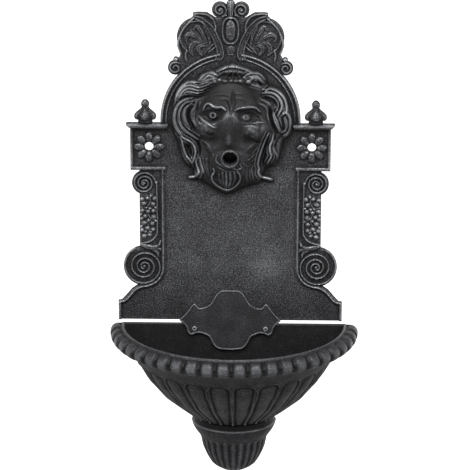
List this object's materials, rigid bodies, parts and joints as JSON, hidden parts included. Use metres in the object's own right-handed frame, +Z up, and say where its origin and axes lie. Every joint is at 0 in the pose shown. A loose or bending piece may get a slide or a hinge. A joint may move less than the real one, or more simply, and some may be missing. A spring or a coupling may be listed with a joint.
{
  "type": "wall fountain with lion mask",
  "caption": "Cast-iron wall fountain: arched back plate with a lion mask spout over a half-round fluted basin on a corbel cup.",
  "frame": {"origin": "on the wall face of the back plate, on its centre line, 150 mm above the plate's lower edge", "axes": "+X right seen from the front, +Y into the wall, +Z up"},
  "size_m": [0.4072, 0.2036, 0.8005],
  "materials": {
    "cast_iron_plate": "sand-cast grey iron, graphite finish burnished on the high points",
    "cast_iron_basin": "sand-cast grey iron, dark graphite finish",
    "screw_steel": "plain zinc-plated steel"
  },
  "bodies": {
    "root": {"backplate": "cast_iron_plate", "joining_plate": "cast_iron_plate", "basin": "cast_iron_basin", "corbel_cup": "cast_iron_basin", "cover_screw_left": "screw_steel", "cover_screw_right": "screw_steel"}
  },
  "joints": []
}
